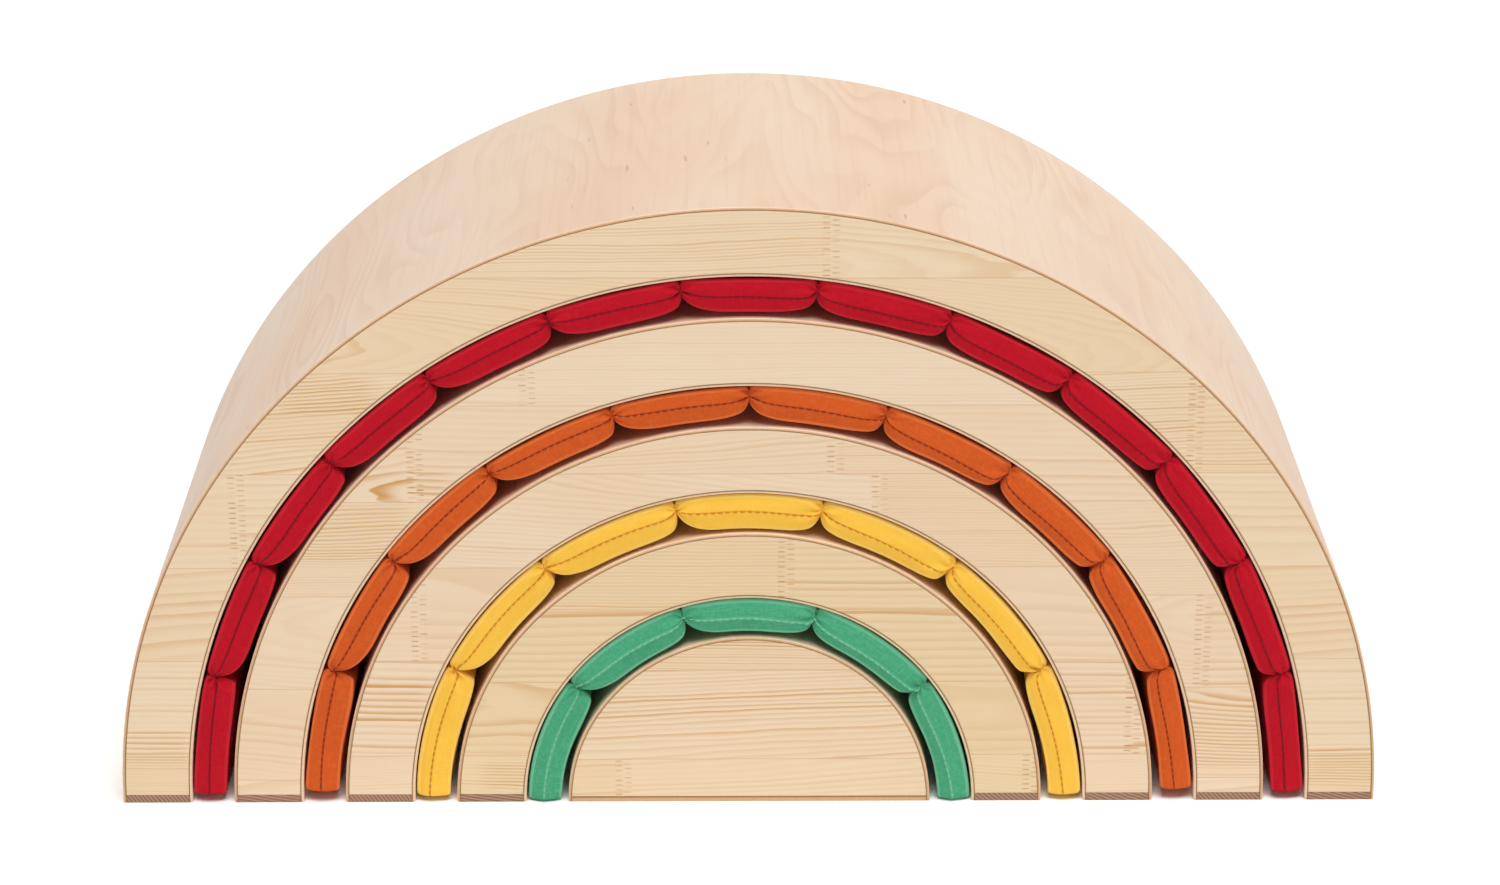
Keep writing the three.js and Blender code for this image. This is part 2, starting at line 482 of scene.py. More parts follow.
@dataclass(frozen=True)
class HardwoodFinish:
    """Sawn brown hardwood strip that runs along Y and shows its slanting rings on the ends."""

    name: str
    slant: float
    pale: Colour = srgb(178, 140, 116)
    dark: Colour = srgb(112, 78, 62)
    ring_width: float = 0.0024

    def material(self) -> bpy.types.Material:
        """Build the strip's material from rings that cross its section at a slant.

        Returns:
            The material.
        """
        g = Graph(f"hardwood_{self.name}")
        x, y, z = g.objects()
        across = g.add(g.mul(x, np.cos(self.slant)), g.mul(z, np.sin(self.slant)))
        across = g.mad(g.noise(x, y, z, (60.0, 3.0, 60.0)), 0.0018, across)
        ring = g.tooth(g.math("FRACT", g.math("DIVIDE", across, self.ring_width)), 0.15, 0.8, 0.84)
        pores = g.noise(x, y, z, (1400.0, 60.0, 1400.0))
        colour = g.blend(g.mul(ring, 0.75), self.pale, self.dark)
        colour = g.blend(g.mul(g.ease(pores, 0.55, 0.75), 0.4), colour, self.dark)
        return g.finish(
            Base_Color=colour,
            Roughness=g.mad(pores, 0.2, 0.55),
            Normal=g.bump(pores, 0.00015),
            Specular_IOR_Level=0.3,
        )


@dataclass(frozen=True)
class CanvasFinish:
    """Plain-woven cotton canvas in one dyed colour."""

    name: str
    # Of the three colours, the first is the dye, the second a darker dye that also serves as painted shade,
    # and the third a paler tone for slubs that also serves as painted highlight.
    colour: Colour
    deep_dye_and_shade: Colour
    worn: Colour
    yarn: float = 0.0009

    def material(self) -> bpy.types.Material:
        """Build the cloth's material.

        Yarns cross over and under as a product of two sines, and the dye varies. The rounded edges and any
        seam ridge get a painted highlight, and the seam groove and the channel seams get painted shade.

        Returns:
            The material.
        """
        g = Graph(f"canvas_{self.name}")
        u, v, _ = g.chart("Cloth")
        warp, weft = (g.math("SINE", g.mul(way, 2 * np.pi / self.yarn)) for way in (u, v))
        weave = g.mad(g.mul(warp, weft), 0.5, 0.5)
        slub = g.noise(u, v, 0.0, (160.0, 900.0, 1.0))
        slub = g.add(slub, g.noise(u, v, 3.0, (900.0, 160.0, 1.0)))
        dye = g.noise(u, v, 7.0, (28.0, 28.0, 1.0), 3.0)
        colour = g.blend(g.mul(g.ease(slub, 0.8, 1.35), 0.26), self.colour, self.worn)
        colour = g.blend(g.mul(g.ease(dye, 0.4, 0.75), 0.10), colour, self.deep_dye_and_shade)
        colour = g.blend(g.mul(weave, 0.12), colour, self.deep_dye_and_shade)
        # Painted highlight: the paler tone on rounded edges and seam ridges, where light would catch them.
        colour = g.blend(g.mul(g.attribute("crest"), 0.60), colour, self.worn)
        # Painted shade: the darker dye in the sunk seam groove and next to each channel seam, where shade
        # falls.
        colour = g.blend(g.mul(g.attribute("crease"), 0.75), colour, self.deep_dye_and_shade)
        return g.finish(
            Base_Color=colour,
            Roughness=0.88,
            Normal=g.bump(g.mad(slub, 0.5, weave), 0.00010),
            Specular_IOR_Level=0.08,
            Sheen_Weight=0.03,
            Sheen_Roughness=0.5,
        )


@dataclass(frozen=True)
class ThreadFinish:
    """Twisted sewing thread in one colour."""

    name: str
    colour: Colour
    shade: float = 0.75

    def material(self) -> bpy.types.Material:
        """Build the thread's material from the slanting strands of its twist.

        Returns:
            The material.
        """
        g = Graph(f"thread_{self.name}")
        x, y, z = g.objects()
        twist = g.math("SINE", g.mul(g.add(x, y, z), 9000.0))
        fuzz = g.noise(x, y, z, (2500.0, 2500.0, 2500.0), 1.0)
        dark = tuple(self.shade * channel for channel in self.colour)
        colour = g.blend(g.mad(twist, 0.25, fuzz), self.colour, dark)
        return g.finish(
            Base_Color=colour, Roughness=0.7, Normal=g.bump(twist, 0.00003), Specular_IOR_Level=0.3
        )


def place_mesh(name: str, points: Array, faces: list[list[int]]) -> bpy.types.Object:
    """Make a smooth mesh object at the origin.

    Args:
        name: The piece's name.
        points: Its points, in any grid.
        faces: Its faces, as numbers of points.

    Returns:
        The object, linked to the scene.
    """
    mesh = bpy.data.meshes.new(name)
    mesh.from_pydata(points.reshape(-1, 3).tolist(), [], faces)
    mesh.polygons.foreach_set("use_smooth", np.ones(len(mesh.polygons), dtype=bool))
    piece = bpy.data.objects.new(name, mesh)
    bpy.context.scene.collection.objects.link(piece)
    return piece


def bands(rows: int, columns: int) -> Indices:
    """List the quads between neighbouring rings of points, each ring closed on itself.

    Args:
        rows: How many rings there are.
        columns: How many points each ring has.

    Returns:
        Each quad's four points.
    """
    first, start = np.arange(columns), np.arange(rows - 1)[:, None] * columns
    near, far = start + first, start + np.roll(first, -1)
    return np.stack([near, far, far + columns, near + columns], axis=-1).reshape(-1, 4)


@dataclass
class Surface:
    """A closed surface on a grid: rows along the piece, columns round its section, a cap over each end."""

    points: Array
    chart: Array | None = None
    values: dict[str, Array] | None = None

    def faces(self) -> list[list[int]]:
        """List the quads between neighbouring rows, then the first and last rows as caps.

        Returns:
            Each face's points.
        """
        rows, columns = self.points.shape[:2]
        first = np.arange(columns)
        caps = [first[::-1].tolist(), (first + (rows - 1) * columns).tolist()]
        return bands(rows, columns).tolist() + caps

    def volume(self) -> float:
        """Work out the volume inside the faces and caps, as a sum of triple products of their corners.

        Returns:
            The volume, which is negative where the faces point inwards.
        """
        p = self.points
        q = np.roll(p, -1, axis=1)
        first = np.einsum("...i,...i", p[:-1], np.cross(q[:-1], q[1:])).sum()
        total = first + np.einsum("...i,...i", p[:-1], np.cross(q[1:], p[1:])).sum()
        for row, sign in ((0, -1.0), (-1, 1.0)):
            total += sign * float((np.cross(p[row], q[row]) @ p[row].mean(axis=0)).sum())
        return float(total) / 6.0

    def build(self, name: str, material: bpy.types.Material | None) -> bpy.types.Object:
        """Put the surface into a mesh object with outward faces.

        Args:
            name: The piece's name.
            material: Its finish, where it has one.

        Returns:
            The object, linked to the scene at the origin.
        """
        turn = slice(None, None, -1) if self.volume() < 0.0 else slice(None)
        piece = place_mesh(name, self.points, [face[turn] for face in self.faces()])
        mesh = piece.data
        if self.chart is not None:
            near, far = self.chart[:-1], self.chart[1:]
            quads = np.stack([near[:, :-1], near[:, 1:], far[:, 1:], far[:, :-1]], axis=2).reshape(-1, 4, 2)
            caps = [self.chart[0, :-1][::-1], self.chart[-1, :-1]]
            layer = mesh.uv_layers.new(name="Veneer" if self.values and "ply" in self.values else "Cloth")
            corners = [quads[:, turn].ravel(), *(cap[turn].ravel() for cap in caps)]
            layer.data.foreach_set("uv", np.concatenate(corners))
        for key, value in (self.values or {}).items():
            level = np.broadcast_to(value, self.points.shape[:2]).astype(np.float32)
            mesh.attributes.new(key, "FLOAT", "POINT").data.foreach_set("value", level.ravel())
        if material is not None:
            mesh.materials.append(material)
        mesh.validate()
        mesh.update()
        return piece


def settle(piece: bpy.types.Object, body: str, slot: str, *nodes: str) -> None:
    """Make a piece ride a body and stand for CAD nodes, and report it.

    Args:
        piece: The finished piece.
        body: The body that carries it.
        slot: The record's material slot; not used.
        *nodes: The CAD nodes that it stands for.
    """
    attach(piece, body)
    if nodes:
        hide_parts(*nodes)
    LOG.info("%s rides %s, %d faces", piece.name, body, len(piece.data.polygons))


def dress(node: str, material: bpy.types.Material) -> None:
    """Give a CAD node that stays in place a better material.

    Args:
        node: The node's name.
        material: Its finish.
    """
    slots = frame["nodes"][node].data.materials
    slots.clear()
    slots.append(material)


def quarter(count: int) -> tuple[Array, Array]:
    """Return the sine and cosine of evenly spaced angles over a quarter turn, ends included."""
    turn = np.linspace(0.0, np.pi / 2, count)
    return np.sin(turn), np.cos(turn)


@dataclass
class BentSkin:
    """A plywood skin bent to a half circle: rounded edges on its bare face, square ones on its glued face."""

    inner: float
    outer: float
    bare_outside: bool
    rounding: float = 0.0014
    ease: float = 0.0005
    steps: int = 220

    def section(self) -> tuple[Array, Array]:
        """Return the closed outline of the skin's section.

        It runs along the bare face, round a quarter circle to the cut edge, across that edge, and back along
        the glued face, first on the +Y half and then mirrored on the -Y half.

        Returns:
            Each point's height through the thickness, 0 on the glued face and 1 on the bare face, and its y.
        """
        thick, half = self.outer - self.inner, DEPTH / 2
        flat = thick - self.rounding
        sine, cosine = quarter(8)
        face = np.linspace(0.0, 1.0, 9)
        bare = np.stack([np.full(9, thick), face * (half - self.rounding - 0.0006)], axis=1)
        bend = np.stack([flat + self.rounding * cosine, half - self.rounding * (1.0 - sine)], axis=1)
        edge = np.stack([flat * (1.0 - np.linspace(0.0, 1.0, 6)[1:]), np.full(5, half)], axis=1)
        glued = np.stack([np.zeros(8), (1.0 - face[1:]) * half], axis=1)
        upper = np.concatenate([bare, bend, edge, glued])
        outline = np.concatenate([upper, upper[-2:0:-1] * (1.0, -1.0)])
        return outline[:, 0] / thick, outline[:, 1]

    def surface(self) -> Surface:
        """Carry the section round the bend.

        A point at radius r and angle a is (r cos a, y, r sin a). Near the floor the section shrinks by the
        ease, and its angle there is the arc sine of height over radius, so both ends are level.

        Returns:
            The closed surface with its veneer chart, ply and edge values.
        """
        middle, half = (self.inner + self.outer) / 2, (self.outer - self.inner) / 2
        ply, across = self.section()
        through = (2.0 * ply - 1.0) * (half if self.bare_outside else -half)
        rise, draw = quarter(5)
        height = self.ease * (1.0 - draw)
        inset = self.ease * (1.0 - rise)
        inset = np.concatenate([inset, np.zeros(self.steps), inset[::-1]])
        radial = middle + through * (half - inset[:, None]) / half
        depth = across * (DEPTH / 2 - inset[:, None]) / (DEPTH / 2)
        right = np.arcsin(height[:, None] / radial[: len(height)])
        begin = np.arcsin(self.ease / radial[len(height) : len(height) + self.steps])
        share = np.linspace(0.0, 1.0, self.steps + 2)[1:-1, None]
        bend = begin + share * (np.pi - 2 * begin)
        angle = np.concatenate([right, bend, np.pi - right[::-1]])
        points = np.stack([radial * np.cos(angle), depth, radial * np.sin(angle)], axis=-1)
        run = angle.mean(axis=1)[:, None] * middle
        chart = np.stack(np.broadcast_arrays(run, np.append(across, across[0])), axis=-1)
        edge = np.clip((np.abs(across) - (DEPTH / 2 - 0.0004)) / 0.0003, 0.0, 1.0)
        edge = np.broadcast_to(edge, radial.shape).copy()
        edge[0] = edge[-1] = 1.0
        return Surface(points, chart, {"ply": np.broadcast_to(ply, radial.shape), "edge": edge})


def arc(radius: float, start: float, end: float, count: int) -> Array:
    """Return points on a circle about the origin of the front view, from one angle to another."""
    angle = np.linspace(start, end, count)
    return radius * np.stack([np.cos(angle), np.sin(angle)], axis=1)


def unit(vectors: Array) -> Array:
    """Return vectors scaled to a length of one."""
    return vectors / np.linalg.norm(vectors, axis=-1, keepdims=True)


@dataclass
class Plate:
    """A flat piece: a front view outline carried along Y, with its front and back edges eased."""

    outline: Array
    front: float
    back: float
    ease: float = 0.0005

    def surface(self) -> Surface:
        """Carry the outline from front to back.

        The outline draws in along its own normals by the ease, on a quarter circle, where it meets the two
        faces. A narrow flat ring inside each face keeps the shading of the face flat.

        Returns:
            The closed surface.
        """
        into = unit(self.outline - np.roll(self.outline, 1, axis=0))
        out = unit(np.roll(self.outline, -1, axis=0) - self.outline)
        across = np.stack([-into[:, 1] - out[:, 1], into[:, 0] + out[:, 0]], axis=1)
        normal = across / np.maximum(1.0 + np.einsum("ij,ij->i", into, out), 0.3)[:, None]
        rise, draw = quarter(5)
        inset = np.concatenate([[3.0], 1.0 - rise])
        reach = np.concatenate([[0.0], 1.0 - draw])
        inset = self.ease * np.concatenate([inset, inset[::-1]])
        depth = np.concatenate([self.front + self.ease * reach, self.back - self.ease * reach[::-1]])
        flat = self.outline[None] + inset[:, None, None] * normal[None]
        depth = np.broadcast_to(depth[:, None], flat.shape[:2])
        return Surface(np.stack([flat[..., 0], depth, flat[..., 1]], axis=-1))


@dataclass
class Panelled:
    """A hollow piece of the nest with a jointed pine panel on each side."""

    name: str
    outer: float
    panels: dict[Side, PineFinish]
    seed: float

    def fit_panels(self, outline: Array) -> bpy.types.Material:
        """Build and dress the front and the back panel.

        Args:
            outline: The panel's shape in the front view.

        Returns:
            The back panel's finish.
        """
        for side, finish in self.panels.items():
            node = f"{self.name}_{side.name.lower()}_panel"
            board = finish.material()
            span = sorted((side.value * DEPTH / 2, side.value * (DEPTH / 2 - PANEL)))
            piece = Plate(outline, *span).surface().build(f"{node}_board", board)
            settle(piece, self.name, "pine", node)
        return board


@dataclass
class Arch(Panelled):
    """One hollow arch: two bent skins, two panels, a foot strip under each leg, and hidden ribs."""

    lining_core: Colour = srgb(236, 212, 176)

    @property
    def inner(self) -> float:
        """Radius of the inner skin's own inner face."""
        return self.outer - BAND

    def ring(self) -> tuple[float, float, float, float]:
        """Return the outer and inner radius between the skins, and the angle of the feet's top on each."""
        outer, inner = self.outer - SKIN, self.inner + SKIN
        return outer, inner, np.arcsin(FOOT / outer), np.arcsin(FOOT / inner)

    def panel_outline(self) -> Array:
        """Cut the half ring between the skins level at the top of the feet.

        Returns:
            The outline, anticlockwise.
        """
        outer, inner, first, second = self.ring()
        over, back = arc(outer, first, np.pi - first, 200), arc(inner, np.pi - second, second, 180)
        return np.concatenate([over, back])

    def foot_outline(self, leg: Leg) -> Array:
        """Cut the part of the ring under one leg, from the floor to the panel.

        Args:
            leg: Which leg it is.

        Returns:
            The outline, anticlockwise.
        """
        outer, inner, first, second = self.ring()
        right = np.concatenate([arc(outer, 0.0, first, 3), arc(inner, second, 0.0, 3)])
        return right if leg is Leg.RIGHT else (right * (-1.0, 1.0))[::-1]

    def build(self) -> None:
        """Build and dress every visible piece of the arch, and give the hidden ribs their finish."""
        lining = BirchFinish(f"{self.name}_lining", self.seed + 0.5, core=self.lining_core).material()
        cover = BirchFinish(f"{self.name}_cover", self.seed).material()
        skins = (("outer_skin", self.outer - SKIN, cover, True), ("inner_skin", self.inner, lining, False))
        for label, low, veneer, outside in skins:
            node = f"{self.name}_{label}"
            piece = BentSkin(low, low + SKIN, outside).surface().build(f"{node}_veneer", veneer)
            settle(piece, self.name, "birch", node)
        board = self.fit_panels(self.panel_outline())
        for leg in Leg:
            node = f"{self.name}_{leg.name.lower()}_foot"
            strip = HardwoodFinish(node, 1.0 + 0.4 * np.sin(self.seed * 3.0 + leg.value)).material()
            foot = Plate(self.foot_outline(leg), -DEPTH / 2, DEPTH / 2)
            settle(foot.surface().build(f"{node}_strip", strip), self.name, "foot_wood", node)
        for rib in ("left_rib", "crown_rib", "right_rib"):
            dress(f"{self.name}_{rib}", board)


@dataclass
class HalfDisc(Panelled):
    """The half disc at the middle of the nest: a bent rim, a base board, two panels and a hidden rib."""

    def panel_outline(self) -> Array:
        """Return the half disc inside the rim, cut level at the top of the base, anticlockwise."""
        start = np.arcsin(BASE / (self.outer - SKIN))
        return arc(self.outer - SKIN, start, np.pi - start, 160)

    def base(self) -> Surface:
        """Carry the base board's outline, whose ends meet the rim, from front to back.

        Returns:
            The closed surface with its veneer chart, ply and edge values.
        """
        low = self.outer - SKIN
        high = np.sqrt(low**2 - BASE**2)
        outline = np.array([(-low, 0.0), (low, 0.0), (high, BASE), (-high, BASE)])
        base = Plate(outline, -DEPTH / 2, DEPTH / 2).surface()
        points = base.points
        base.chart = np.concatenate([points, points[:, :1]], axis=1)[..., :2]
        cut = (np.abs(points[..., 1]) > DEPTH / 2 - 0.0004).astype(float)
        base.values = {"ply": 1.0 - points[..., 2] / BASE, "edge": cut}
        return base

    def build(self) -> None:
        """Build and dress the rim, base and panels, and give the hidden rib its finish."""
        veneer = BirchFinish(self.name, self.seed).material()
        rim = BentSkin(self.outer - SKIN, self.outer, True).surface().build("half_disc_rim_veneer", veneer)
        settle(rim, self.name, "birch", "half_disc_rim")
        settle(self.base().build("half_disc_base_board", veneer), self.name, "birch", "half_disc_base")
        dress("half_disc_rib", self.fit_panels(self.panel_outline()))


def shoulder(distance: Array, reach: float | Array) -> Array:
    """Return how far a padded surface has fallen towards its seam: 1 at the seam, 0 from the reach on.

    The fall follows a quarter ellipse, upright at the seam and level at the reach.

    Args:
        distance: Distance from the seam.
        reach: Distance over which it falls.

    Returns:
        The fall.
    """
    share = np.clip(distance / reach, 0.0, 1.0)
    return 1.0 - np.sqrt(1.0 - (1.0 - share) ** 2)


@dataclass
class SewnRow:
    """A row of even stitches of thick thread."""

    length: float = 0.0038
    pitch: float = 0.0052
    radius: float = 0.00055
    sides: int = 6
    rings: int = 4

    def capsules(self, path: Array, out: Array) -> Array:
        """Lay short capsules along a path, with their ends sunk into the cloth.

        A stitch is a six-sided tube of four rings about the path: its two outer rings are narrow and sunk,
        and its two inner rings are full and proud.

        Args:
            path: Points along the seam.
            out: The direction that the cloth faces at each point.

        Returns:
            Points by stitch, ring and side.
        """
        run = np.concatenate([[0.0], np.cumsum(np.linalg.norm(np.diff(path, axis=0), axis=1))])
        count = max(1, int((run[-1] - self.length) / self.pitch))
        middle = (run[-1] - (count - 1) * self.pitch) / 2 + self.pitch * np.arange(count)

        def at(place: Array, data: Array) -> Array:
            """Return the data at distances along the path."""
            return np.stack([np.interp(place, run, data[:, axis]) for axis in range(3)], axis=-1)

        along = unit(at(middle + self.length / 2, path) - at(middle - self.length / 2, path))
        face = at(middle, out)
        face = unit(face - np.einsum("ij,ij->i", face, along)[:, None] * along)
        side = np.cross(along, face)
        turn = np.arange(self.sides)[:, None] * 2 * np.pi / self.sides
        ring = side[:, None] * np.cos(turn) + face[:, None] * np.sin(turn)
        place = self.length * np.array([-0.5, -0.28, 0.28, 0.5])[:, None]
        lift = self.radius * np.array([-0.7, 0.5, 0.5, -0.7])[:, None]
        swell = self.radius * np.array([0.4, 1.0, 1.0, 0.4])[:, None, None]
        centre = at(middle, path)[:, None] + along[:, None] * place + face[:, None] * lift
        return centre[:, :, None] + swell * ring[:, None]

    def faces(self, count: int) -> list[list[int]]:
        """List the faces of a number of capsules, three bands of quads and two caps each.

        Args:
            count: How many capsules there are.

        Returns:
            Each face's points: all the bands, then all the caps.
        """
        first = np.arange(self.sides)
        caps = np.stack([first[::-1], first + (self.rings - 1) * self.sides])
        offset = np.arange(count)[:, None, None] * self.rings * self.sides
        quads = (offset + bands(self.rings, self.sides)).reshape(-1, 4)
        return quads.tolist() + (offset + caps).reshape(-1, self.sides).tolist()


@dataclass
class Rows:
    """Where a mat's rows lie: channel, share of it, angle, and distance to the seams and the mat's ends."""

    number: Indices
    place: Array
    angle: Array
    before: Array
    after: Array
    free: Array

    @property
    def near(self) -> Array:
        """Distance to the nearest seam."""
        return np.minimum(self.before, self.after)

    @property
    def left(self) -> Array:
        """How far down the left leg a row is: 0 at the crown, 1 at the floor."""
        return np.clip(-np.cos(self.angle), 0.0, 1.0)

    @property
    def right(self) -> Array:
        """How far down the right leg a row is: 0 at the crown, 1 at the floor."""
        return np.clip(np.cos(self.angle), 0.0, 1.0)

    @property
    def swag(self) -> Array:
        """How full a channel hangs: 0 at its seams, 1 in its middle, on a parabola."""
        return 1.0 - (2.0 * self.place - 1.0) ** 2


@dataclass
class Mat:
    """A mat of sewn channels, bent along the inside of an arch."""

    name: str
    lined: float
    clear: float
    channels: int
    floor_gap: float
    cloth: CanvasFinish
    thread: ThreadFinish
    seed: int
    ridge: float = 0.0
    groove: float = 0.0009
    thickness: float = 0.025
    seat: float = 0.0008
    half_width: float = 0.1612
    full_width: float = 0.1630
    notch_depth: float = 0.0034
    notch_reach: float = 0.0040
    crown_neck: float = 0.0122
    left_neck: float = 0.0082
    swell_reach: float = 0.031
    corner_reach: float = 0.006
    edge_round: float = 0.0026
    bulge: float = 0.0020
    half_rows: int = 15
    swell_cap: float = 0.0010
    swell_frames: int = 20

    @property
    def pitch(self) -> float:
        """Length of one channel at the middle of the mat's thickness."""
        return float((np.pi - 2 * self.start) * (self.lined - self.thickness / 2) / self.channels)

    @property
    def start(self) -> float:
        """Angle of the mat's right end, where its inner edge stands the floor gap above the floor."""
        return float(np.arcsin(self.floor_gap / (self.lined - self.thickness)))

    def rows(self) -> Rows:
        """Place the rows along the mat, close together at the seams.

        In a channel, they lie at half the squares of even steps from each seam to the middle.

        Returns:
            The rows from the mat's right end to its left end.
        """
        half = 0.5 * np.linspace(0.0, 1.0, self.half_rows + 1) ** 2
        share = np.concatenate([half, 1.0 - half[-2:0:-1]])
        number = np.append(np.repeat(np.arange(self.channels), len(share)), self.channels - 1)
        place = np.append(np.tile(share, self.channels), 1.0)
        return Rows(
            number,
            place,
            angle=self.start + (np.pi - 2 * self.start) * (number + place) / self.channels,
            before=np.where(number == 0, 1.0, place * self.pitch),
            after=np.where(number == self.channels - 1, 1.0, (1.0 - place) * self.pitch),
            free=np.minimum(number + place, self.channels - number - place) * self.pitch,
        )

    def section(self) -> dict[str, Array]:
        """Return the section's columns, in order round the mat from the seam side towards +Y.

        Each column has its place on an inner box, from -1 to 1 along the width and through the thickness, and
        the direction in which the rounded corner stands off that box.

        Returns:
            Arrays named box_y, box_d, off_y and off_d, side, which is 1 on the two sewn sides, and corner,
            which is 1 on the rounded corners.
        """
        fine = np.array([0.0, 0.035, 0.075, 0.13, 0.22, 0.34, 0.48, 0.63, 0.78, 0.90, 1.0])
        across = np.concatenate([-fine[:0:-1], fine])
        close = 0.4 * np.linspace(0.0, 1.0, 9) ** 1.5
        along = np.concatenate([close - 1.0, np.linspace(-0.6, 0.6, 11)[1:-1], 1.0 - close[::-1]])
        sine, cosine = (wave[1:-1] for wave in quarter(5))
        bend, one, flat = np.ones(len(sine)), np.ones(len(across)), np.ones(len(along))
        half = {
            "box_y": np.concatenate([one, bend, -along, -bend]),
            "box_d": np.concatenate([across, bend, flat, bend]),
            "off_y": np.concatenate([one, cosine, 0.0 * flat, -sine]),
            "off_d": np.concatenate([0.0 * one, sine, flat, cosine]),
        }
        columns = {key: np.concatenate([value, -value]) for key, value in half.items()}
        side = np.concatenate([one, 0.0 * bend, 0.0 * flat, 0.0 * bend])
        corner = ((columns["off_y"] != 0.0) & (columns["off_d"] != 0.0)).astype(float)
        return {**columns, "side": np.concatenate([side, side]), "corner": corner}

    def seam_columns(self) -> Indices:
        """Return the columns that follow the stitched edge seam, towards +Y and then towards -Y."""
        cut = self.section()
        return np.flatnonzero((cut["side"] > 0.0) & (cut["box_d"] == 0.0))

    def profile(self, rng: np.random.Generator, rows: Rows) -> tuple[Array, Array, Array]:
        """Find the mat's outer and inner face along its length.

        A channel is full in its middle. Its inner face falls to a seam on two quarter ellipses, a long one
        for the swell and a short one for a square corner. Corners are square on the legs and round at the
        crown, and the left leg's channels are square at their upper ends only. The outer face has a small
        notch at a seam.

        Args:
            rng: The mat's own random numbers.
            rows: The mat's rows.

        Returns:
            Each row's depth under the arch at the outer and at the inner face, and its half width.
        """
        number, near, left, right = rows.number, rows.near, rows.left, rows.right
        reach = self.swell_reach * rng.uniform(0.85, 1.1, (2, self.channels))[:, number]
        corner = self.corner_reach * rng.uniform(0.7, 1.3, (2, self.channels))[:, number]
        square = 0.58 * np.sqrt(right)
        long_fall = square * shoulder(rows.after, corner[0]) + (1.0 - square) * shoulder(rows.after, reach[0])
        square = 0.25 + 0.55 * np.sqrt(np.maximum(left, 0.7 * right))
        tight = shoulder(rows.before, corner[1] * (1.0 - 0.5 * left))
        short_fall = square * tight + (1.0 - square) * shoulder(rows.before, reach[1])
        full = 1.0 - np.maximum(long_fall, short_fall)
        end = 0.002 * shoulder(rows.free, 0.003)
        fill = rng.normal(1.0, 0.025, self.channels).clip(0.96, 1.05)[number]
        outer = self.seat + rng.uniform(0.0, 0.0008, self.channels)[number]
        outer = outer + (0.0006 + 0.0010 * right) * rows.swag
        outer = outer + self.notch_depth * shoulder(near, self.notch_reach) + end
        neck = self.crown_neck + (self.left_neck - self.crown_neck) * left
        neck = neck + rng.normal(0.0, 0.0006, self.channels)[0]
        inner = neck + (self.thickness * fill + 0.001 * rows.swag - neck) * full - end
        width = self.half_width - self.bulge - 0.0022 * np.exp(-((near / 0.006) ** 2)) - end
        return outer, inner, width

    def drift(self, rng: np.random.Generator, rows: Rows, sign: Array) -> Array:
        """Let the edge seam wander across the thickness, on straight runs between random places at the seams.

        Args:
            rng: The mat's own random numbers.
            rows: The mat's rows.
            sign: Which side each column is on.

        Returns:
            How far the seam is off the middle, by row and column, where 1 is half the thickness.
        """
        knots = rng.normal(0.0, 0.10, (2, self.channels + 1)).clip(-0.2, 0.2)
        along = rows.number + rows.place
        wander = np.stack([np.interp(along, np.arange(self.channels + 1), row) for row in knots])
        turns, means = (0.0, 0.4, 1.0, np.pi / 2, np.pi), (0.1, 0.38, 0.42, 0.0, -0.2)
        wander = wander + np.interp(rows.angle, turns, means)
        return wander[(sign > 0).astype(int)].T

    def surface(self) -> tuple[Surface, Array]:
        """Carry a rounded box section along the arch, from the mat's right end to its left end.

        The sewn sides bulge on a parabola to a stitched seam, sunk in a groove or standing in a ridge, and
        gather into pleats at each channel's end. A point at depth d and angle a lies at angle a on a circle
        of the lined arch's inner radius less d.

        Returns:
            The closed surface with its cloth chart, painted shade and painted highlight values, and each
            row's distance to a seam.
        """
        rng = np.random.default_rng(self.seed)
        rows, cut = self.rows(), self.section()
        outer, inner, width = self.profile(rng, rows)
        half, middle = (inner - outer)[:, None] / 2, (inner + outer)[:, None] / 2
        swell = np.clip(2.0 * half / self.thickness, 0.0, 1.0)
        side, box_d, sign = cut["side"], cut["box_d"], np.sign(cut["box_y"])
        arch = 1.0 - box_d**2
        share = box_d + side * self.drift(rng, rows, sign) * swell * arch
        curve = np.minimum(self.edge_round, 0.8 * half)
        depth = middle + (half - curve) * share + curve * cut["off_d"]
        y = (width[:, None] - curve) * cut["box_y"] + curve * cut["off_y"]
        # sunk sets how much painted shade lies in a seam groove, and proud how much painted highlight lies on
        # a seam ridge.
        seam_width, sunk, proud = (0.08, 0.0, 0.9) if self.ridge else (0.05, 0.85, 0.0)
        seam = side * np.exp(-((box_d / seam_width) ** 2)) * swell
        y = y + sign * side * self.bulge * swell * arch + sign * (self.ridge or -self.groove) * seam
        y = y + sign * side * self.pleats(rng, rows, depth - self.seat - self.notch_depth - 0.004)
        depth = depth + (1.0 - side) * self.puckers(rng, rows, y)
        radius, angle = self.lined - depth, rows.angle[:, None]
        points = np.stack([radius * np.cos(angle), y, radius * np.sin(angle)], axis=-1)
        outline = np.stack([y, depth], axis=-1)[self.half_rows]
        girth = np.linalg.norm(np.roll(outline, -1, axis=0) - outline, axis=1)
        around = np.concatenate([[0.0], np.cumsum(girth)])
        run = angle * (self.lined - self.thickness / 2)
        chart = np.stack(np.broadcast_arrays(run, around[None]), axis=-1)
        # Painted shade: darker in a sunk seam groove and close to each channel seam, where shade falls.
        crease = np.maximum(sunk * seam, 0.10 * np.exp(-rows.near / 0.0015)[:, None])
        # Painted highlight: paler along the rounded corners, and on a seam ridge, where light would catch
        # them.
        crest = np.maximum(cut["corner"] * np.sqrt(swell), proud * seam)
        return Surface(points, chart, {"crease": crease, "crest": crest}), rows.near

